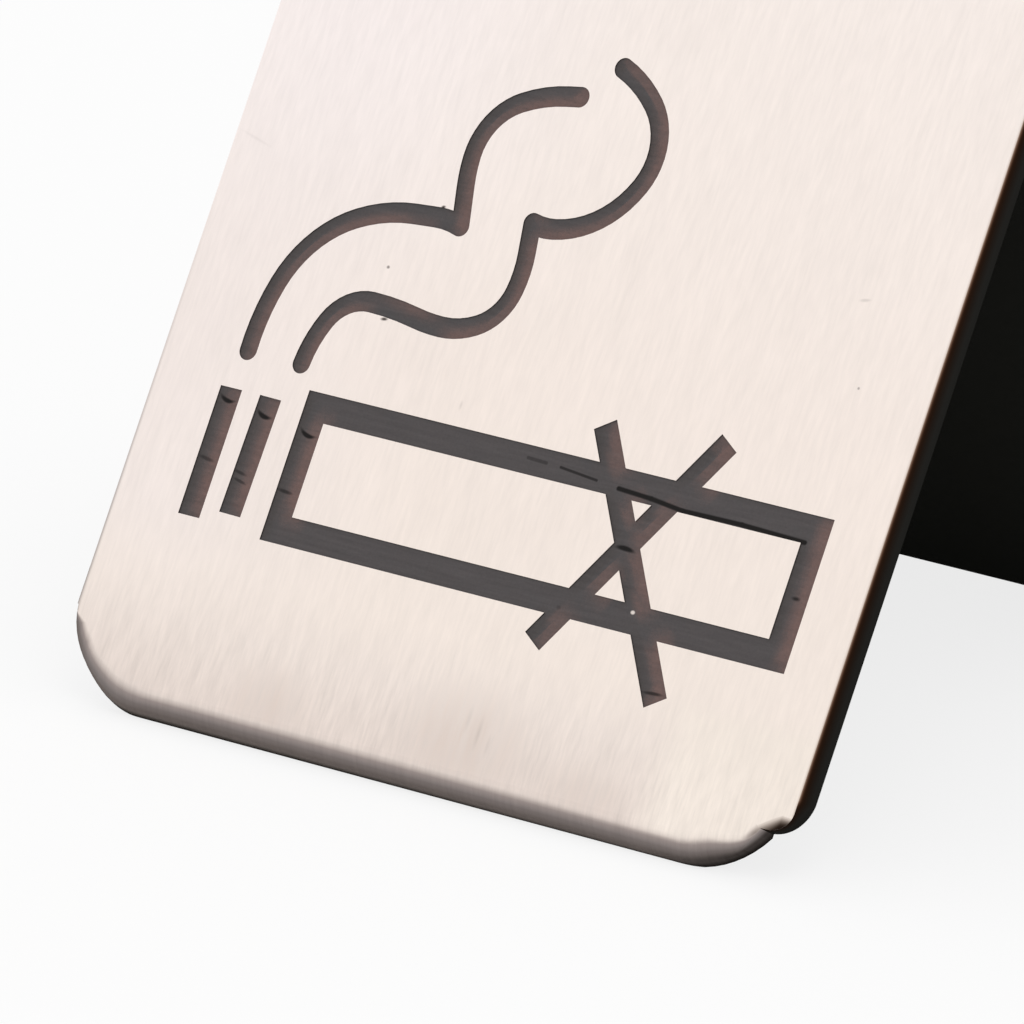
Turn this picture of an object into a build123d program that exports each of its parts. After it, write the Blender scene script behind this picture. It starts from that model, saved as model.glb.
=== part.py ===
from build123d import *
import os
from math import cos, radians, sin, tan

# Free-standing no smoking sign: one steel strip folded into a tent, engraved and filled on both leaves.
# X runs along the fold, the front leaf faces -Y and +Z is up. The origin is on the table, under the middle
# of the fold. Lengths are in millimetres, angles in degrees.

# Strip and fold
sheet_width = 55.0
sheet_thickness = 1.9
leaf_length = 53.7
leaf_lean = 60.4
bend_inner_radius = 1.5

# Lower end of a leaf: plan outline, ground nose that fades out round both corners, and dressed sole.
# Corner angles are counted from straight down the leaf.
left_corner_radius = 6.05
right_corner_radius = 6.65
right_corner_inset = 7.65
stop_angle = 57.2
nose_radius = 1.7
faded_nose_radius = 0.15
left_fade_start = 30.0
left_fade_end = 86.0
right_fade_start = 20.0
sole_depth = 0.15

# The right-hand corner that the grinding misses: smaller round on the face, larger one on the inner side
missed_corner_rise = 3.12
missed_face_radius = 1.2
missed_back_radius = 2.2

# Engraving and its enamel
engraving_depth = 0.3
enamel_thickness = 0.22

# Cigarette outline. The pictogram's spare width is shared between its left and right margins.
left_margin_share = 0.57
cigarette_rise = 17.0
cigarette_length = 39.6
cigarette_height = 9.6
cigarette_stroke = 1.8

# Cross over the cigarette: each stroke's centre from the cigarette's right end and middle, length and slope
cross_stroke = 1.65
falling_inset = 13.0
falling_rise = -0.65
falling_length = 18.3
falling_slope = -57.6
rising_inset = 13.45
rising_rise = 0.55
rising_length = 17.0
rising_slope = 57.7

# Two bars of ash, each left of the next with its clearance, and their centres above the cigarette's middle
ash_stroke = 1.65
ash_clearance = 1.85
bar_clearance = 1.35
long_ash_length = 8.25
long_ash_rise = -0.33
short_ash_length = 7.55
short_ash_rise = 0.0
short_ash_slope = 89.0

# Smoke lines: start from an ash bar's middle and top, heading, then straights as (length,) and arcs as
# (radius, turn to the left). Each line has one sharp turn between its lower and its upper run.
smoke_stroke = 1.3
smoke_clearance = 1.85
left_smoke_offset = 0.3
left_smoke_heading = 92.4
left_smoke_lower = [(14.2, -18.2), (7.95, -47.7), (10.6, -22.6), (1.66,), (5.56, -20.0)]
left_smoke_sharp_turn = 119.3
left_smoke_upper = [(2.54,), (9.6, -11.2), (4.2, -64.7), (9.8, -19.2), (0.9,)]
right_smoke_offset = 1.45
right_smoke_heading = 86.5
right_smoke_lower = [(7.8, -22.1), (3.1, -64.7), (21.0, -9.5), (12.0, 10.0), (5.45, 26.8), (3.5, 54.2),
                     (7.4, 18.5), (1.91,)]
right_smoke_sharp_turn = -112.5
right_smoke_upper = [(4.58, 21.2), (6.65, 56.4), (4.3, 72.2), (8.5, 23.6)]

# Worked out from the sizes above
lean = radians(leaf_lean)
bend_outer_radius = bend_inner_radius + sheet_thickness
bend_height = leaf_length * sin(lean) - bend_inner_radius * cos(lean) - sole_depth
inner_reach = leaf_length * cos(lean) + bend_inner_radius * sin(lean)
outer_reach = inner_reach + sheet_thickness * sin(lean)
outer_drop = sheet_thickness * cos(lean) - sole_depth
leaf_face = Plane(
    origin=(-sheet_width / 2, -outer_reach, outer_drop),
    x_dir=(1, 0, 0),
    z_dir=(0, -sin(lean), cos(lean)),
)
half_turn = Rot(0, 0, 180)
trim_margin = 2.0
arc_crease = 6.0
nose_steps = 10


def fold_line(reach, drop, radius):
    """One side of the bent strip, seen from its end: up a leaf, round the bend and down the other."""
    apex = (0, bend_height + radius / cos(lean))
    return FilletPolyline((-reach, drop), apex, (reach, drop), radius=radius)


def bent_strip():
    inner = fold_line(inner_reach, -sole_depth, bend_inner_radius)
    outer = fold_line(outer_reach, outer_drop, bend_outer_radius)
    ends = [Line(inner @ 0, outer @ 0), Line(inner @ 1, outer @ 1)]
    section = Plane.YZ * make_face((Curve() + [inner, outer] + ends).edges())
    return extrude(section, amount=sheet_width / 2, both=True)


def ground_outline():
    """The leaf's lower end in plan, with the right-hand corner left off where the grinding stops."""
    right_centre_x = sheet_width - right_corner_inset
    top = 3 * right_corner_radius
    left_arc = JernArc((0, left_corner_radius), (0, -1), left_corner_radius, 90)
    bottom = Line((left_corner_radius, 0), (right_centre_x, 0))
    right_arc = JernArc((right_centre_x, 0), (1, 0), right_corner_radius, stop_angle)
    right_exit = PolarLine(right_arc @ 1, 2 * right_corner_radius, stop_angle)
    rest = Polyline(right_exit @ 1, ((right_exit @ 1).X, top), (0, top), (0, left_corner_radius))
    return make_face((Curve() + [left_arc, bottom, right_arc, right_exit, rest]).edges())


def rounding(corner, radius):
    """What rounds off a corner: the spandrel outside an arc, where both of the plane's axes point outwards."""
    crease = radians(arc_crease)
    arc_radius = radius / (cos(crease) - sin(crease))
    middle = arc_radius * (sin(radians(45)) - cos(crease))
    arc = ThreePointArc((-radius, 0), (middle, middle), (0, -radius))
    rest = Polyline((0, -radius), (trim_margin, -radius), (trim_margin, trim_margin), (-radius, trim_margin),
                    (-radius, 0))
    return corner * make_face((Curve() + [arc, rest]).edges())


def nose_section(centre, corner_radius, angle, radius):
    """What the grinding takes off, cut across the outline at one place of a corner."""
    outward = Vector(sin(radians(angle)), -cos(radians(angle)), 0)
    along = Vector(cos(radians(angle)), sin(radians(angle)), 0)
    edge = Vector(*centre, 0) + corner_radius * outward
    return rounding(Plane(origin=edge, x_dir=outward, z_dir=-along), radius)


def faded_radius(angle, start, end):
    """The nose's radius round a corner: full up to the start angle, then easing down to the end angle."""
    share = min(max((angle - start) / (end - start), 0), 1)
    return nose_radius - (nose_radius - faded_nose_radius) * share * share * (3 - 2 * share)


def ground_nose():
    """What the grinding takes off the whole lower end: a straight run and a fading run round each corner."""
    left_centre = (left_corner_radius, left_corner_radius)
    right_centre = (sheet_width - right_corner_inset, right_corner_radius)
    straight = extrude(nose_section(left_centre, left_corner_radius, 0, nose_radius),
                       amount=right_centre[0] - left_centre[0], dir=(1, 0, 0))
    left_angles = [left_fade_end * step / nose_steps for step in range(nose_steps + 1)]
    right_angles = [stop_angle * step / nose_steps for step in range(nose_steps + 1)]
    left = loft([nose_section(left_centre, left_corner_radius, -angle,
                              faded_radius(angle, left_fade_start, left_fade_end)) for angle in left_angles])
    right = loft([nose_section(right_centre, right_corner_radius, angle,
                               faded_radius(angle, right_fade_start, stop_angle)) for angle in right_angles])
    return [straight, left, right]


def missed_corner():
    """The right-hand corner past the stop, out to the sheet's side."""
    centre = Vector(sheet_width - right_corner_inset, right_corner_radius)
    stop = centre + right_corner_radius * Vector(sin(radians(stop_angle)), -cos(radians(stop_angle)))
    top = 3 * right_corner_radius
    outline = Polyline(centre, stop, (sheet_width, missed_corner_rise), (sheet_width, top), (centre.X, top),
                       close=True)
    return extrude(make_face(outline.edges()), amount=-sheet_thickness)


def missed_corner_rounding():
    """What rounds that corner off, from its smaller radius on the face to its larger one on the inner side."""
    sections = []
    for height in (trim_margin, -sheet_thickness - trim_margin):
        share = -height / sheet_thickness
        radius = missed_face_radius + (missed_back_radius - missed_face_radius) * share
        corner = Plane(origin=(sheet_width, missed_corner_rise, height), x_dir=(1, 0, 0), z_dir=(0, 0, -1))
        sections.append(rounding(corner, radius))
    return loft(sections, ruled=True)


def shaped_end(strip):
    """Cuts the front leaf's lower end to its outline and grinds its nose, all in the leaf's own frame."""
    leaf = leaf_face.to_local_coords(strip)
    trim = Pos(sheet_width / 2, right_corner_radius, -sheet_thickness / 2) * Box(
        sheet_width + 2 * trim_margin, 2 * right_corner_radius + 2 * trim_margin,
        sheet_thickness + 2 * trim_margin)
    kept = Pos(0, 0, -sheet_thickness / 2) * extrude(
        ground_outline(), amount=sheet_thickness / 2 + 2 * trim_margin, both=True)
    leaf -= trim - kept
    for removed in ground_nose():
        leaf -= removed
    leaf += missed_corner()
    leaf -= missed_corner_rounding()
    return leaf_face.from_local_coords(leaf)


def stroke(centre, length, slope, width):
    return Pos(*centre) * Rot(0, 0, slope) * Rectangle(length, width)


def cigarette_face(left):
    """The cigarette's outline with the cross over it."""
    outline = Rectangle(cigarette_length, cigarette_height)
    outline -= Rectangle(cigarette_length - 2 * cigarette_stroke, cigarette_height - 2 * cigarette_stroke)
    right = left + cigarette_length
    face = Pos(left + cigarette_length / 2, cigarette_rise) * outline
    face += stroke((right - falling_inset, cigarette_rise + falling_rise), falling_length, falling_slope,
                   cross_stroke)
    face += stroke((right - rising_inset, cigarette_rise + rising_rise), rising_length, rising_slope,
                   cross_stroke)
    return face


def smoke_run(start, heading, moves):
    """Edges of one run, and the place and heading where it ends."""
    edges = []
    for move in moves:
        if len(move) == 1:
            edge = PolarLine(start, move[0], heading)
        else:
            radius, turn = move
            edge = JernArc(start, (cos(radians(heading)), sin(radians(heading))), radius, turn)
            heading += turn
        edges += edge.edges()
        start = edge @ 1
    return edges, start, heading


def smoke_face(start, heading, lower, sharp_turn, upper):
    lower_edges, middle, heading = smoke_run(start, heading, lower)
    upper_edges, _, _ = smoke_run(middle, heading + sharp_turn, upper)
    centre_line = Wire(lower_edges + upper_edges)
    return make_face(centre_line.offset_2d(smoke_stroke / 2, kind=Kind.ARC, side=Side.BOTH).edges())


def pictogram():
    """Each figure of the pictogram by name, as a face on the leaf, laid out from left to right."""
    length = 2 * ash_stroke + bar_clearance + ash_clearance + cigarette_length
    long_ash_x = left_margin_share * (sheet_width - length) + ash_stroke / 2
    short_ash_x = long_ash_x + ash_stroke + bar_clearance
    cigarette_left = short_ash_x + ash_stroke / 2 + ash_clearance
    long_ash_y = cigarette_rise + long_ash_rise
    short_ash_y = cigarette_rise + short_ash_rise
    smoke_gap = smoke_clearance + smoke_stroke / 2
    left_smoke_start = (long_ash_x + left_smoke_offset, long_ash_y + long_ash_length / 2 + smoke_gap)
    right_smoke_start = (short_ash_x + right_smoke_offset, short_ash_y + short_ash_length / 2 + smoke_gap)
    return {
        "cigarette": cigarette_face(cigarette_left),
        "long_ash": stroke((long_ash_x, long_ash_y), long_ash_length, 90, ash_stroke),
        "short_ash": stroke((short_ash_x, short_ash_y), short_ash_length, short_ash_slope, ash_stroke),
        "left_smoke": smoke_face(left_smoke_start, left_smoke_heading, left_smoke_lower,
                                 left_smoke_sharp_turn, left_smoke_upper),
        "right_smoke": smoke_face(right_smoke_start, right_smoke_heading, right_smoke_lower,
                                  right_smoke_sharp_turn, right_smoke_upper),
    }


def write(shape, name):
    shape.label = name
    export_step(shape, f"parts/{name}.step")


os.makedirs("parts", exist_ok=True)

sheet = bent_strip()
sheet = shaped_end(sheet)
sheet = half_turn * shaped_end(half_turn * sheet)
ground = Pos(0, 0, -trim_margin / 2) * Box(2 * sheet_width, 4 * outer_reach, trim_margin)
sheet -= ground

figures = pictogram()
for face in figures.values():
    engraving = leaf_face * Pos(0, 0, -engraving_depth) * extrude(face, amount=engraving_depth + trim_margin)
    sheet -= engraving
    sheet -= half_turn * engraving
write(sheet, "folded_sheet")

for name, face in figures.items():
    enamel = leaf_face * Pos(0, 0, -engraving_depth) * extrude(face, amount=enamel_thickness)
    write(enamel, f"front_{name}_enamel")
    write(half_turn * enamel, f"rear_{name}_enamel")
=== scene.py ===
from math import atan2, cos, degrees, hypot, radians, sin
import bpy
import bmesh
from mathutils import Matrix, Vector


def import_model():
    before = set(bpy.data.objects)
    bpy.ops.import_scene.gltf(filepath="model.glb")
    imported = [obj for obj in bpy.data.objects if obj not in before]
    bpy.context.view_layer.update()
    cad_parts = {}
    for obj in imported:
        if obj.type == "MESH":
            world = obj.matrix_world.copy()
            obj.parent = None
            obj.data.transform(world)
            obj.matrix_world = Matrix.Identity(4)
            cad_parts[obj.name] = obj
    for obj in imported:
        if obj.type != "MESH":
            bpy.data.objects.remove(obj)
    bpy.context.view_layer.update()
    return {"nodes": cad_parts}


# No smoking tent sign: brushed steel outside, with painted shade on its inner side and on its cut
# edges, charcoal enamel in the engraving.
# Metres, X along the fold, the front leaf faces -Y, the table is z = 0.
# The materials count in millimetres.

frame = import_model()
print("sign loaded, nodes:", len(frame["nodes"]))

# What the materials need to know of the folded strip
strip = {
    "width": 55.0,
    "thickness": 1.9,
    "leafLength": 53.7,
    "lean": radians(60.4),
    "bendInside": 1.5,
    "soleDepth": 0.15,
    "noseRadius": 1.7,
    "leftCornerRadius": 6.05,
    "rightCornerRadius": 6.65,
    "rightCornerInset": 7.65,
    "stopAngle": 57.2,        # round the right corner, where the grinding stops
    "pictogramFoot": 8.0,     # the engraving lies between these heights up the leaf
    "pictogramTop": 48.0,
    "perMetre": 1000.0,
    "leafShift": 20.0,        # keeps the patterns of the two leaves apart
}


# Node helpers: a value is a socket, a number or a colour

def newMaterial(name):
    material = bpy.data.materials.new(name)
    material.use_nodes = True
    return material, material.node_tree, material.node_tree.nodes["Principled BSDF"]


def place(tree, value, socket):
    # a socket is linked, anything else is typed in
    if isinstance(value, bpy.types.NodeSocket):
        tree.links.new(value, socket)
    else:
        socket.default_value = value


def calc(tree, operation, first, second=0.0):
    node = tree.nodes.new("ShaderNodeMath")
    node.operation = operation
    place(tree, first, node.inputs[0])
    place(tree, second, node.inputs[1])
    return node.outputs[0]


def chain(tree, operation, values):
    result = values[0]
    for value in values[1:]:
        result = calc(tree, operation, result, value)
    return result


def total(tree, *values):
    return chain(tree, "ADD", values)


def product(tree, *values):
    return chain(tree, "MULTIPLY", values)


def greatest(tree, *values):
    return chain(tree, "MAXIMUM", values)


def less(tree, first, second):
    return calc(tree, "SUBTRACT", first, second)


def over(tree, value, limit):
    # 1 above the limit, else 0
    return calc(tree, "GREATER_THAN", value, limit)


def under(tree, value, limit):
    return calc(tree, "LESS_THAN", value, limit)


def length(tree, first, second):
    squares = total(tree, product(tree, first, first), product(tree, second, second))
    return calc(tree, "SQRT", squares)


def ramp(tree, value, low, high, start=0.0, end=1.0, soft=True):
    # start at low, end at high, and level beyond them; low may be the larger of the two
    mapRange = tree.nodes.new("ShaderNodeMapRange")
    mapRange.interpolation_type = "SMOOTHSTEP" if soft else "LINEAR"
    place(tree, value, mapRange.inputs["Value"])
    mapRange.inputs["From Min"].default_value = low
    mapRange.inputs["From Max"].default_value = high
    mapRange.inputs["To Min"].default_value = start
    mapRange.inputs["To Max"].default_value = end
    return mapRange.outputs["Result"]


def blend(tree, amount, first, second):
    mix = tree.nodes.new("ShaderNodeMix")
    mix.data_type = "RGBA"
    place(tree, amount, mix.inputs[0])
    place(tree, first, mix.inputs[6])
    place(tree, second, mix.inputs[7])
    return mix.outputs[2]


def colour(*screen):
    # screen values of red, green and blue, 0 to 255, to the linear ones that Blender wants
    linear = [(v / 255 / 12.92) if v <= 10 else ((v / 255 + 0.055) / 1.055) ** 2.4 for v in screen]
    return (*linear, 1.0)


def colourRamp(tree, value, stops):
    # stops are (value, colour), in rising order
    first, last = stops[0][0], stops[-1][0]
    node = tree.nodes.new("ShaderNodeValToRGB")
    place(tree, ramp(tree, value, first, last, soft=False), node.inputs[0])
    elements = node.color_ramp.elements
    while len(elements) < len(stops):
        elements.new(1.0)
    for element, (at, tone) in zip(elements, stops):
        element.position = (at - first) / (last - first)
        element.color = tone
    return node.outputs["Color"]


def scaled(tree, tone, factor):
    node = tree.nodes.new("ShaderNodeVectorMath")
    node.operation = "SCALE"
    tree.links.new(tone, node.inputs[0])
    place(tree, factor, node.inputs["Scale"])
    return node.outputs[0]


def parts(tree, vector):
    split = tree.nodes.new("ShaderNodeSeparateXYZ")
    tree.links.new(vector, split.inputs[0])
    return split.outputs


def noise(tree, where, across, along, detail, roughness, shift=(0.0, 0.0, 0.0)):
    # about -0.5 to 0.5; across and along are grains per millimetre
    mapping = tree.nodes.new("ShaderNodeMapping")
    mapping.inputs["Scale"].default_value = (across, along, 1.0)
    mapping.inputs["Location"].default_value = shift
    tree.links.new(where, mapping.inputs["Vector"])
    texture = tree.nodes.new("ShaderNodeTexNoise")
    texture.inputs["Scale"].default_value = 1.0
    texture.inputs["Detail"].default_value = detail
    texture.inputs["Roughness"].default_value = roughness
    tree.links.new(mapping.outputs["Vector"], texture.inputs["Vector"])
    return less(tree, texture.outputs["Fac"], 0.5)


def bumped(tree, shader, height, setting):
    bump = tree.nodes.new("ShaderNodeBump")
    bump.inputs["Strength"].default_value = setting["strength"]
    bump.inputs["Distance"].default_value = setting["distance"]
    tree.links.new(height, bump.inputs["Height"])
    tree.links.new(bump.outputs["Normal"], shader.inputs["Normal"])


def leafCoordinates(tree):
    # u across the leaf from its own left side, v up from its lower end, depth below the outer face
    texture = tree.nodes.new("ShaderNodeTexCoord")
    x, y, z = parts(tree, scaled(tree, texture.outputs["Object"], strip["perMetre"]))
    side = calc(tree, "SIGN", y)      # -1 on the front leaf, 1 on the rear one
    u = less(tree, strip["width"] / 2, product(tree, side, x))
    sine, cosine = sin(strip["lean"]), cos(strip["lean"])
    bendHeight = strip["leafLength"] * sine - strip["bendInside"] * cosine - strip["soleDepth"]
    reach = calc(tree, "ABSOLUTE", y)
    rise = less(tree, z, bendHeight)
    down = less(tree, product(tree, reach, cosine), product(tree, rise, sine))
    across = total(tree, product(tree, reach, sine), product(tree, rise, cosine))
    radius = length(tree, across, calc(tree, "MINIMUM", down, 0.0))
    depth = less(tree, strip["bendInside"] + strip["thickness"], radius)
    v = less(tree, strip["leafLength"], down)
    joined = tree.nodes.new("ShaderNodeCombineXYZ")
    for value, socket in zip((u, v, product(tree, side, strip["leafShift"])), joined.inputs):
        tree.links.new(value, socket)
    return {"u": u, "v": v, "depth": depth, "where": joined.outputs[0],
            "front": under(tree, side, 0.0)}


# A mark on the front leaf has its middle at (u, v), a size (long, wide) and a turn in degrees.
# core is the part at full strength, sag bows it, blunt keeps its width up to round ends.
plainMark = {"turn": 0.0, "core": 0.2, "amount": 1.0, "sag": 0.0, "blunt": False}


def spot(tree, leaf, mark):
    # the mark's amount in its core, 0 outside it
    mark = {**plainMark, **mark}
    turn = radians(mark["turn"])
    right = less(tree, leaf["u"], mark["at"][0])
    up = less(tree, leaf["v"], mark["at"][1])
    along = total(tree, product(tree, right, cos(turn)), product(tree, up, sin(turn)))
    aside = less(tree, product(tree, up, cos(turn)), product(tree, right, sin(turn)))
    if mark["sag"]:
        aside = less(tree, aside, product(tree, along, along, mark["sag"]))
    halfLong, halfWide = mark["size"][0] / 2, mark["size"][1] / 2
    if mark["blunt"]:
        pastStraight = less(tree, calc(tree, "ABSOLUTE", along), halfLong - halfWide)
        along = greatest(tree, pastStraight, 0.0)
        halfLong = halfWide
    distance = length(tree, calc(tree, "DIVIDE", along, halfLong),
                      calc(tree, "DIVIDE", aside, halfWide))
    return product(tree, ramp(tree, distance, 1.0, mark["core"]), leaf["front"], mark["amount"])


# Brushed steel

steel = {
    # painted light and shade on the face: by height up the leaf, darker towards the lower end, and
    # tones that come in across it (u) and up it (v)
    "faceLightTones": [
        (0.0, colour(228, 214, 206)), (2.5, colour(231, 218, 210)), (6.0, colour(238, 226, 218)),
        (9.5, colour(244, 232, 223)), (25.0, colour(245, 233, 225)), (38.0, colour(246, 235, 228)),
        (54.0, colour(247, 237, 231)),
    ],
    "faceLightTints": [
        # painted light and shade: the left margin greyer, the upper left lighter and cooler, the
        # lower right lighter than the rest of the lower end
        {"tone": colour(243, 233, 230), "u": (24.0, 2.0), "v": (5.0, 14.0), "amount": 0.55},
        {"tone": colour(250, 241, 239), "u": (32.0, 4.0), "v": (26.0, 46.0), "amount": 0.7},
        {"tone": colour(243, 232, 222), "u": (43.0, 46.5), "v": (10.0, 8.0), "amount": 1.0},
    ],
    # brush marks: grains per millimetre across and along, detail, roughness, shift
    "fineGrain": (3.4, 0.45, 3.0, 0.6),
    "coarseGrain": (0.8, 0.1, 2.0, 0.5, (3.0, 1.0, 7.0)),
    "cloudGrain": (0.12, 0.1, 2.0, 0.5, (11.0, 5.0, 2.0)),
    "coarseShare": 0.5,
    "cloudShare": 0.04,
    "marksByHeight": (10.0, 2.0, 0.16, 0.34),      # stronger near the lower end
    # worn patches and specks
    "grime": colour(206, 190, 180),
    "wornLevel": 0.55,
    "wornRagged": 2.6,
    "patches": [
        {"at": (30.5, 3.6), "size": (13.0, 9.0), "core": 0.1, "amount": 0.5},
        {"at": (16.0, 2.5), "size": (9.0, 7.0), "core": 0.1, "amount": 0.35},
        {"at": (40.0, 2.2), "size": (9.0, 5.0), "core": 0.1, "amount": 0.3},
    ],
    "speckTone": colour(84, 76, 72),
    "specks": [
        {"at": (14.25, 30.25), "size": (0.34, 0.3), "amount": 0.75},
        {"at": (49.83, 29.74), "size": (0.26, 0.26), "amount": 0.55},
        {"at": (48.3, 34.95), "size": (1.1, 0.3), "turn": 12, "amount": 0.2},
        {"at": (22.7, 23.1), "size": (0.35, 0.9), "core": 0.0, "amount": 0.16},
        {"at": (1.6, 36.1), "size": (3.4, 0.3), "turn": -14, "amount": 0.07},
        {"at": (30.6, 4.9), "size": (0.5, 2.4), "core": 0.0, "amount": 0.1},
        {"at": (31.6, 4.2), "size": (0.5, 2.8), "core": 0.0, "amount": 0.13},
        {"at": (32.5, 3.6), "size": (0.4, 2.0), "core": 0.0, "amount": 0.1},
        {"at": (16.75, 34.6), "size": (0.5, 0.3), "turn": 20},
        {"at": (15.2, 27.1), "size": (0.75, 0.3), "turn": 8},
        {"at": (10.25, 33.0), "size": (0.4, 0.2), "turn": 30, "amount": 0.8},
    ],
    # painted shade: thin lines down the left side and the right side
    "leftEdgeShade": {"tone": colour(140, 134, 131), "inset": (0.24, 0.04), "angle": (70.0, 80.0),
                 "v": (36.0, 8.0), "within": 1.0, "amount": 0.6},
    "rightEdgeShade": {"width": 0.16, "amount": 0.5},
    # painted shade and reflection on the ground nose, by depth below the face
    "noseShadeTones": [
        (0.03, colour(226, 214, 206)), (0.1, colour(208, 196, 189)), (0.16, colour(184, 172, 166)),
        (0.23, colour(155, 144, 140)), (0.4, colour(134, 125, 122)), (0.5, colour(121, 112, 109)),
        (0.8, colour(116, 107, 103)), (1.1, colour(120, 111, 107)), (1.26, colour(104, 97, 93)),
        (1.4, colour(84, 78, 74)), (1.7, colour(42, 37, 34)),
    ],
    "bandDepth": (8.0, 46.0, 1.1, 0.88),           # by u: the tones come sooner on the left
    "bandSoftness": (26.0, 48.0, 0.09, 0.2),       # by u: a softer start on the right
    "bandMarks": 0.3,
    # painted shade, deeper where the right corner turns away
    "turnedCornerShade": {"u": (44.0, 51.0), "depth": (0.4, 1.0), "amount": -0.66},
    "dullNose": (0.45, 1.0),
    # round the left corner the painted shade band widens by u, then narrows by the angle in
    # degrees
    "leftReach": (9.0, 4.5, 1.0, 1.3),
    "leftFade": [(30.0, 60.0, -0.28), (60.0, 74.0, -0.38), (74.0, 82.0, -0.61)],
    "leastReach": 0.01,
    "leftStop": 82.0,
    # round the right corner the painted shade starts softly
    "rightStart": (0.55, 0.0, 0.0, 0.2),
    "rightStartAngle": (28.0, 44.0),
    # painted shade over the corner that the grinding misses, by height above a rising line
    "missedCornerShade": {
        "tones": [
            (-1.0, colour(24, 18, 14)), (-0.65, colour(42, 32, 26)), (-0.5, colour(60, 50, 43)),
            (-0.38, colour(86, 75, 68)), (-0.25, colour(114, 103, 95)),
            (-0.12, colour(146, 134, 125)), (0.0, colour(178, 166, 157)),
            (0.13, colour(210, 198, 188)), (0.3, colour(232, 220, 210)),
        ],
        "lineFrom": (52.6, 2.8),
        "lineSlope": 0.66,
        "lineTop": 3.9,
        "sharpen": (53.6, 54.8, 1.0, 1.7),
        "above": (0.35, 0.2),
        "u": (52.1, 53.1),
        "depth": (0.3, 0.08),
    },
    # painted shade on the sides, by depth, on the engraving's walls and on the inner side
    "sideShadeTones": [
        (0.0, colour(185, 165, 150)), (0.1, colour(122, 94, 78)), (0.22, colour(74, 50, 37)),
        (0.36, colour(44, 28, 19)), (0.55, colour(37, 24, 17)), (0.9, colour(34, 28, 24)),
        (1.4, colour(36, 35, 33)), (1.9, colour(34, 34, 32)),
    ],
    "sideFacing": 0.97,
    "sideWithin": 0.05,
    "sideShadeDeepen": (5.3, 4.3, 0.0, 0.45),           # darker below the missed corner's top
    "wallDepth": 0.02,
    # painted shade on the engraving's steel walls
    "grooveShade": colour(46, 40, 38),
    "grooveDepth": 0.012,
    # painted shade over the whole inner side
    "insideShade": colour(39, 39, 36),
    "insideWithin": 0.02,
    "roughness": 0.36,
    "marksRoughness": 0.12,
    "dullRoughness": 0.3,
    "specular": 0.0,
    "bump": {"strength": 0.1, "distance": 0.00002},
}


def leftBand(tree, leaf):
    # how deep the nose would be here, for its painted shade round the left corner and up the side
    radius = strip["leftCornerRadius"]
    fromSide = greatest(tree, less(tree, radius, leaf["u"]), 0.0)
    fromEnd = greatest(tree, less(tree, radius, leaf["v"]), 0.0)
    inset = less(tree, radius, length(tree, fromSide, fromEnd))
    angle = calc(tree, "DEGREES", calc(tree, "ARCTAN2", fromSide, fromEnd))
    reach = ramp(tree, leaf["u"], *steel["leftReach"])
    for start, end, change in steel["leftFade"]:
        reach = total(tree, reach, ramp(tree, angle, start, end, 0.0, change, soft=False))
    reach = product(tree, greatest(tree, reach, steel["leastReach"]), strip["noseRadius"])
    turned = less(tree, 1.0, calc(tree, "DIVIDE", inset, reach))
    turned = calc(tree, "MINIMUM", greatest(tree, turned, 0.0), 1.0)
    level = calc(tree, "SQRT", less(tree, 1.0, product(tree, turned, turned)))
    depth = product(tree, less(tree, 1.0, level), strip["noseRadius"],
                    under(tree, leaf["u"], strip["width"] / 2))
    return depth, angle, inset


def rightBand(tree, leaf):
    # the soft start of the painted shade round the right corner, and the angle round it
    radius = strip["rightCornerRadius"]
    aside = less(tree, leaf["u"], strip["width"] - strip["rightCornerInset"])
    fromEnd = less(tree, radius, leaf["v"])
    inset = less(tree, radius,
                 length(tree, greatest(tree, aside, 0.0), greatest(tree, fromEnd, 0.0)))
    angle = calc(tree, "DEGREES", calc(tree, "ARCTAN2", aside, fromEnd))
    onCorner = product(tree, over(tree, angle, 0.0), under(tree, angle, strip["stopAngle"]))
    depth = product(tree, ramp(tree, inset, *steel["rightStart"]),
                    ramp(tree, angle, *steel["rightStartAngle"]), onCorner)
    return depth, angle


def steelFace(tree, leaf, fine, coarse, marks):
    # painted light and shade by height and across the face, worn patches near the lower end, brush
    # marks up the leaf, specks
    u, v = leaf["u"], leaf["v"]
    face = colourRamp(tree, v, steel["faceLightTones"])
    for tint in steel["faceLightTints"]:
        amount = product(tree, ramp(tree, u, *tint["u"]), ramp(tree, v, *tint["v"]),
                         tint["amount"])
        face = blend(tree, amount, face, tint["tone"])
    worn = total(tree, *[spot(tree, leaf, patch) for patch in steel["patches"]])
    ragged = total(tree, steel["wornLevel"],
                   product(tree, total(tree, coarse, fine), steel["wornRagged"]))
    face = blend(tree, product(tree, worn, greatest(tree, ragged, 0.0)), face, steel["grime"])
    cloud = noise(tree, leaf["where"], *steel["cloudGrain"])
    brushed = product(tree, marks, ramp(tree, v, *steel["marksByHeight"]))
    face = scaled(tree, face,
                  total(tree, 1.0, brushed, product(tree, cloud, steel["cloudShare"])))
    for speck in steel["specks"]:
        face = blend(tree, spot(tree, leaf, speck), face, steel["speckTone"])
    return face


def sideLines(tree, leaf, face, leftAngle, leftInset):
    # painted shade: a thin grey line down the left side, and the brown start of the right side
    line = steel["leftEdgeShade"]
    amount = product(tree, ramp(tree, leftInset, *line["inset"]),
                     ramp(tree, leftAngle, *line["angle"]), ramp(tree, leaf["v"], *line["v"]),
                     under(tree, leaf["u"], line["within"]), line["amount"])
    face = blend(tree, amount, face, line["tone"])
    line = steel["rightEdgeShade"]
    amount = ramp(tree, leaf["u"], strip["width"] - line["width"], strip["width"],
                  0.0, line["amount"])
    return blend(tree, amount, face, steel["sideShadeTones"][0][1])


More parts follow.
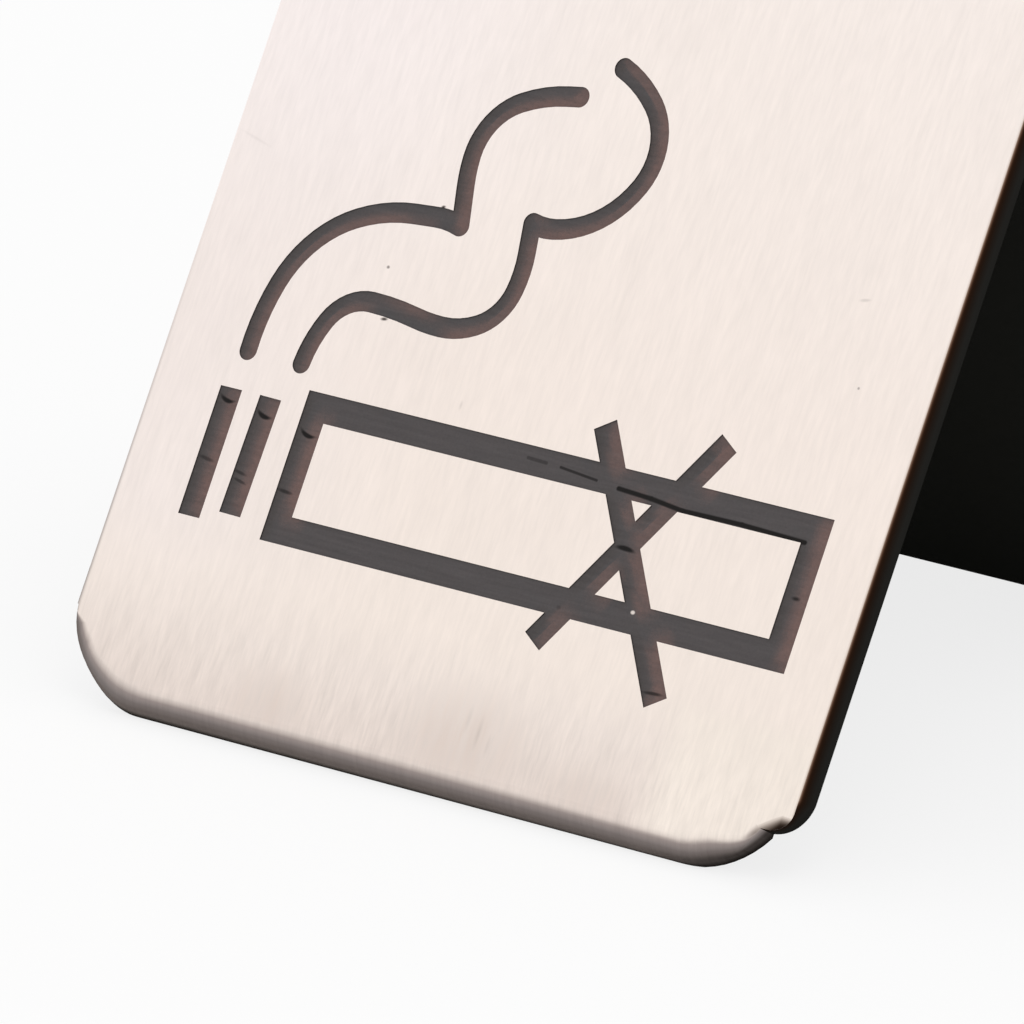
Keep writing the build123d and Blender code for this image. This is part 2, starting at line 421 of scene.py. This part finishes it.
def noseBand(tree, leaf, face, marks, band):
    # painted shade and reflection on the ground nose and its run round the corners, darker where
    # the right corner turns away
    corner = steel["turnedCornerShade"]
    darker = product(tree, ramp(tree, leaf["u"], *corner["u"]),
                     ramp(tree, band, *corner["depth"]), corner["amount"])
    factor = total(tree, 1.0, darker, product(tree, marks, steel["bandMarks"]))
    bandTone = scaled(tree, colourRamp(tree, band, steel["noseShadeTones"]), factor)
    softness = ramp(tree, leaf["u"], *steel["bandSoftness"])
    return blend(tree, ramp(tree, calc(tree, "DIVIDE", band, softness), 0.0, 1.0), face, bandTone)


def missedCornerShade(tree, leaf, tone):
    # painted shade runs on over the corner that the grinding misses, below a rising line
    corner = steel["missedCornerShade"]
    u = leaf["u"]
    lineU, lineV = corner["lineFrom"]
    line = total(tree, product(tree, less(tree, u, lineU), corner["lineSlope"]), lineV)
    above = less(tree, leaf["v"], calc(tree, "MINIMUM", line, corner["lineTop"]))
    above = product(tree, above, ramp(tree, u, *corner["sharpen"]))
    shade = product(tree, ramp(tree, above, *corner["above"]), ramp(tree, u, *corner["u"]),
                    ramp(tree, leaf["depth"], *corner["depth"]))
    return blend(tree, shade, tone, colourRamp(tree, above, corner["tones"]))


def walls(tree, leaf, tone, lowEnd, leftAngle, rightAngle):
    # painted shade on the engraving's walls, the sides with the missed corner, and the inner side
    v, depth = leaf["v"], leaf["depth"]
    # painted shade on the engraving's walls, below the face inside the pictogram
    engraved = product(tree, over(tree, v, strip["pictogramFoot"]),
                       under(tree, v, strip["pictogramTop"]))
    grooveShade = product(tree, engraved, over(tree, depth, steel["grooveDepth"]))
    tone = blend(tree, grooveShade, tone, steel["grooveShade"])
    geometry = tree.nodes.new("ShaderNodeNewGeometry")
    facing = calc(tree, "ABSOLUTE", parts(tree, geometry.outputs["True Normal"])[0])
    fromMiddle = calc(tree, "ABSOLUTE", less(tree, leaf["u"], strip["width"] / 2))
    flatSide = product(tree, over(tree, facing, steel["sideFacing"]),
                       over(tree, fromMiddle, strip["width"] / 2 - steel["sideWithin"]))
    pastStop = greatest(tree, over(tree, rightAngle, strip["stopAngle"]),
                        over(tree, leftAngle, steel["leftStop"]))
    side = greatest(tree, flatSide,
                    product(tree, pastStop, lowEnd, over(tree, depth, steel["wallDepth"])))
    # painted shade on the cut sides, deeper below the missed corner's top
    sideDepth = total(tree, depth, ramp(tree, v, *steel["sideShadeDeepen"]))
    tone = blend(tree, side, tone, colourRamp(tree, sideDepth, steel["sideShadeTones"]))
    # painted shade over the inner side
    insideShade = over(tree, depth, strip["thickness"] - steel["insideWithin"])
    tone = blend(tree, insideShade, tone, steel["insideShade"])
    return tone, greatest(tree, grooveShade, side, insideShade)


def brushedSteel():
    material, tree, shader = newMaterial("brushedSteel")
    leaf = leafCoordinates(tree)
    fine = noise(tree, leaf["where"], *steel["fineGrain"])
    coarse = noise(tree, leaf["where"], *steel["coarseGrain"])
    marks = total(tree, fine, product(tree, coarse, steel["coarseShare"]))
    leftDepth, leftAngle, leftInset = leftBand(tree, leaf)
    rightDepth, rightAngle = rightBand(tree, leaf)
    lowEnd = under(tree, leaf["v"], strip["pictogramFoot"])
    band = product(tree, greatest(tree, leaf["depth"], leftDepth, rightDepth), lowEnd,
                   ramp(tree, leaf["u"], *steel["bandDepth"], soft=False))
    tone = steelFace(tree, leaf, fine, coarse, marks)
    tone = sideLines(tree, leaf, tone, leftAngle, leftInset)
    tone = noseBand(tree, leaf, tone, marks, band)
    tone = missedCornerShade(tree, leaf, tone)
    tone, dull = walls(tree, leaf, tone, lowEnd, leftAngle, rightAngle)
    tree.links.new(tone, shader.inputs["Base Color"])
    # the deep part of the nose is dull too
    dull = greatest(tree, dull, ramp(tree, band, *steel["dullNose"]))
    tree.links.new(less(tree, 1.0, dull), shader.inputs["Metallic"])
    rough = total(tree, steel["roughness"], product(tree, marks, steel["marksRoughness"]),
                  product(tree, dull, steel["dullRoughness"]))
    tree.links.new(rough, shader.inputs["Roughness"])
    shader.inputs["Specular IOR Level"].default_value = steel["specular"]
    bumped(tree, shader, marks, steel["bump"])
    return material


# Charcoal enamel

enamel = {
    "charcoal": colour(79, 77, 78),
    "rimShade": colour(71, 66, 64),
    "brown": colour(132, 102, 95),
    "nick": colour(20, 17, 16),
    "bare": colour(232, 222, 214),
    "rimReach": 0.0016,
    "rimSamples": 8,
    # painted shade on the rims that face the leaf's left; brown on those that face its right,
    # partly thin fill and partly painted bounced light
    "rimShadeFacing": (-0.35, -0.8),      # how far a stroke's rim faces the leaf's right
    "brownFacing": (-0.03, 0.18),
    "brownLevel": 0.95,
    # grains per millimetre across and along, detail, roughness, shift
    "mottleGrain": (1.3, 1.3, 3.0, 0.6),
    "fineGrain": (5.0, 5.0, 2.0, 0.6, (4.0, 9.0, 1.0)),
    "dragGrain": (0.25, 3.5, 3.0, 0.6, (1.0, 6.0, 3.0)),
    "fineShare": 0.3,
    "dragShare": 0.45,
    "roughness": 0.5,
    "fineRoughness": 0.3,
    "specular": 0.15,
    "bump": {"strength": 0.25, "distance": 0.00003},
    "nicks": [
        {"at": (5.8, 19.98), "size": (1.6, 0.4), "core": 0.4, "turn": -12, "sag": 0.4},
        {"at": (8.82, 19.57), "size": (1.6, 0.42), "core": 0.4, "turn": -15, "sag": 0.4},
        {"at": (12.4, 19.08), "size": (1.7, 0.4), "core": 0.4, "turn": -15, "sag": 0.4},
        {"at": (5.75, 16.22), "size": (1.7, 0.34), "core": 0.3, "turn": -8, "amount": 0.6},
        {"at": (8.5, 15.88), "size": (1.5, 0.28), "core": 0.3, "turn": -11, "amount": 0.6},
        {"at": (8.68, 15.37), "size": (1.5, 0.28), "core": 0.3, "turn": -13, "amount": 0.6},
        {"at": (12.2, 15.43), "size": (1.6, 0.34), "core": 0.3, "turn": -5, "amount": 0.75},
        {"at": (37.45, 17.13), "size": (1.9, 0.44), "core": 0.4, "turn": -3, "sag": -0.1},
        {"at": (50.25, 16.7), "size": (0.9, 0.36), "amount": 0.85},
        {"at": (42.65, 9.14), "size": (2.0, 0.32), "core": 0.3, "turn": 3, "amount": 0.8},
        {"at": (34.2, 12.72), "size": (0.5, 0.4), "amount": 0.35},
    ],
    # black lines through the points (u, v), along the cigarette's upper stroke
    "streakCore": 0.4,
    "streaks": [
        {"path": [(28.6, 21.02), (30.0, 20.97)], "width": 0.3, "amount": 0.5},
        {"path": [(31.1, 20.93), (33.9, 20.68)], "width": 0.24, "amount": 0.8},
        {"path": [(35.6, 20.53), (38.1, 20.4), (40.5, 20.15), (44.9, 20.2), (49.6, 20.07)],
         "width": 0.42, "amount": 1.0},
    ],
    "bareSpot": {"at": (39.43, 13.53), "size": (0.42, 0.32), "core": 0.4},
}


def streakMarks(line):
    # one blunt mark for each stretch between two points
    marks = []
    for (u0, v0), (u1, v1) in zip(line["path"], line["path"][1:]):
        marks.append({"at": ((u0 + u1) / 2, (v0 + v1) / 2),
                      "size": (hypot(u1 - u0, v1 - v0) + line["width"], line["width"]),
                      "turn": degrees(atan2(v1 - v0, u1 - u0)), "blunt": True,
                      "core": enamel["streakCore"], "amount": line["amount"]})
    return marks


def charcoalEnamel():
    material, tree, shader = newMaterial("charcoalEnamel")
    leaf = leafCoordinates(tree)
    mottle = noise(tree, leaf["where"], *enamel["mottleGrain"])
    fine = noise(tree, leaf["where"], *enamel["fineGrain"])
    drag = noise(tree, leaf["where"], *enamel["dragGrain"])
    # painted shade on the rims of a stroke that face the leaf's left; towards its side that faces
    # the leaf's right the fill is thin and brown, with painted bounced light on it
    rim = tree.nodes.new("ShaderNodeBevel")
    rim.samples = enamel["rimSamples"]
    rim.inputs["Radius"].default_value = enamel["rimReach"]
    leafRight = less(tree, product(tree, leaf["front"], 2.0), 1.0)
    toRight = product(tree, parts(tree, rim.outputs["Normal"])[0], leafRight)
    tone = blend(tree, ramp(tree, toRight, *enamel["rimShadeFacing"]),
                 enamel["charcoal"], enamel["rimShade"])
    brown = product(tree, ramp(tree, toRight, *enamel["brownFacing"]),
                    total(tree, enamel["brownLevel"], mottle))
    tone = blend(tree, brown, tone, enamel["brown"])
    uneven = total(tree, product(tree, fine, enamel["fineShare"]),
                   product(tree, drag, enamel["dragShare"]))
    tone = scaled(tree, tone, total(tree, 1.0, uneven))
    marks = list(enamel["nicks"])
    for line in enamel["streaks"]:
        marks += streakMarks(line)
    for mark in marks:
        tone = blend(tree, spot(tree, leaf, mark), tone, enamel["nick"])
    tone = blend(tree, spot(tree, leaf, enamel["bareSpot"]), tone, enamel["bare"])
    tree.links.new(tone, shader.inputs["Base Color"])
    rough = total(tree, enamel["roughness"], product(tree, fine, enamel["fineRoughness"]))
    tree.links.new(rough, shader.inputs["Roughness"])
    shader.inputs["Specular IOR Level"].default_value = enamel["specular"]
    bumped(tree, shader, fine, enamel["bump"])
    return material


steelMaterial = brushedSteel()
enamelMaterial = charcoalEnamel()
for name, node in frame["nodes"].items():
    node.data.materials.clear()
    node.data.materials.append(enamelMaterial if "enamel" in name else steelMaterial)
print("materials assigned")

# Floor, world and lamps

studio = {
    "white": (1.0, 1.0, 1.0, 1.0),
    "floorSize": 6.0,
    "floorColour": (0.94, 0.94, 0.94, 1.0),
    "floorRoughness": 0.9,
    "floorGlow": 0.8,           # the white share of the floor where it is seen
    "worldStrength": 0.8,       # on the object; the sky itself is seen white
    "lamps": [
        {"name": "keyLamp", "at": (0.45, -0.25, 1.1), "size": 0.5, "power": 1.6},
        {"name": "fillLamp", "at": (-0.7, 0.5, 0.9), "size": 0.8, "power": 1.2},
    ],
}


def seenDirectly(tree):
    # 1 for what the camera sees, also in metal and glass, 0 for the light on the object
    lightPath = tree.nodes.new("ShaderNodeLightPath")
    return greatest(tree, lightPath.outputs["Is Camera Ray"], lightPath.outputs["Is Glossy Ray"],
                    lightPath.outputs["Is Transmission Ray"])


def floor():
    mesh = bpy.data.meshes.new("floor")
    shape = bmesh.new()
    bmesh.ops.create_grid(shape, x_segments=1, y_segments=1, size=studio["floorSize"] / 2)
    shape.to_mesh(mesh)
    shape.free()
    piece = bpy.data.objects.new("floor", mesh)
    bpy.context.scene.collection.objects.link(piece)
    material, tree, shader = newMaterial("paleFloor")
    shader.inputs["Base Color"].default_value = studio["floorColour"]
    shader.inputs["Roughness"].default_value = studio["floorRoughness"]
    shader.inputs["Specular IOR Level"].default_value = 0.0
    glow = tree.nodes.new("ShaderNodeEmission")
    glow.inputs["Color"].default_value = studio["white"]
    mix = tree.nodes.new("ShaderNodeMixShader")
    tree.links.new(product(tree, seenDirectly(tree), studio["floorGlow"]), mix.inputs[0])
    tree.links.new(shader.outputs[0], mix.inputs[1])
    tree.links.new(glow.outputs[0], mix.inputs[2])
    tree.links.new(mix.outputs[0], tree.nodes["Material Output"].inputs["Surface"])
    mesh.materials.append(material)


def world():
    sky = bpy.data.worlds.new("studioWorld")
    bpy.context.scene.world = sky
    sky.use_nodes = True
    tree = sky.node_tree
    background = tree.nodes["Background"]
    extra = product(tree, seenDirectly(tree), 1.0 - studio["worldStrength"])
    background.inputs["Color"].default_value = studio["white"]
    tree.links.new(total(tree, studio["worldStrength"], extra), background.inputs["Strength"])


def lamps():
    # each lamp points at the table under the fold
    for setting in studio["lamps"]:
        lamp = bpy.data.lights.new(setting["name"], "AREA")
        lamp.size = setting["size"]
        lamp.energy = setting["power"]
        stand = bpy.data.objects.new(setting["name"], lamp)
        stand.location = setting["at"]
        stand.rotation_euler = Vector(setting["at"]).to_track_quat("Z", "Y").to_euler()
        bpy.context.scene.collection.objects.link(stand)


# Camera, placed as the photograph was taken: angles in degrees, distances in metres

view = {
    "azimuth": 37.612,
    "elevation": 17.866,
    "roll": 0.821,
    "distance": 0.7984,
    "aimRight": -0.01152,
    "aimUp": 0.01032,
    "lift": -0.00015,
    "lens": 456.8,
    "sensorWidth": 36.0,
    "clip": (0.01, 20.0),
}


def camera():
    azimuth, elevation, roll = (radians(view[k]) for k in ("azimuth", "elevation", "roll"))
    towards = Vector((sin(azimuth) * cos(elevation), -cos(azimuth) * cos(elevation),
                      sin(elevation)))
    level = Vector((0, 0, 1)).cross(towards).normalized()
    upright = towards.cross(level)
    right = cos(roll) * level + sin(roll) * upright
    up = cos(roll) * upright - sin(roll) * level
    data = bpy.data.cameras.new("photoCamera")
    data.type = "PERSP"
    data.lens = view["lens"]
    data.sensor_width = view["sensorWidth"]
    data.clip_start, data.clip_end = view["clip"]
    eye = bpy.data.objects.new("photoCamera", data)
    bpy.context.scene.collection.objects.link(eye)
    position = (view["distance"] * towards + view["aimRight"] * right + view["aimUp"] * up
                + Vector((0, 0, view["lift"])))
    turn = Matrix((right, up, towards)).transposed().to_4x4()
    eye.matrix_world = Matrix.Translation(position) @ turn
    bpy.context.scene.camera = eye


floor()
world()
lamps()
camera()
bpy.context.scene.view_settings.view_transform = "Standard"
print("stage, lamps and camera ready")
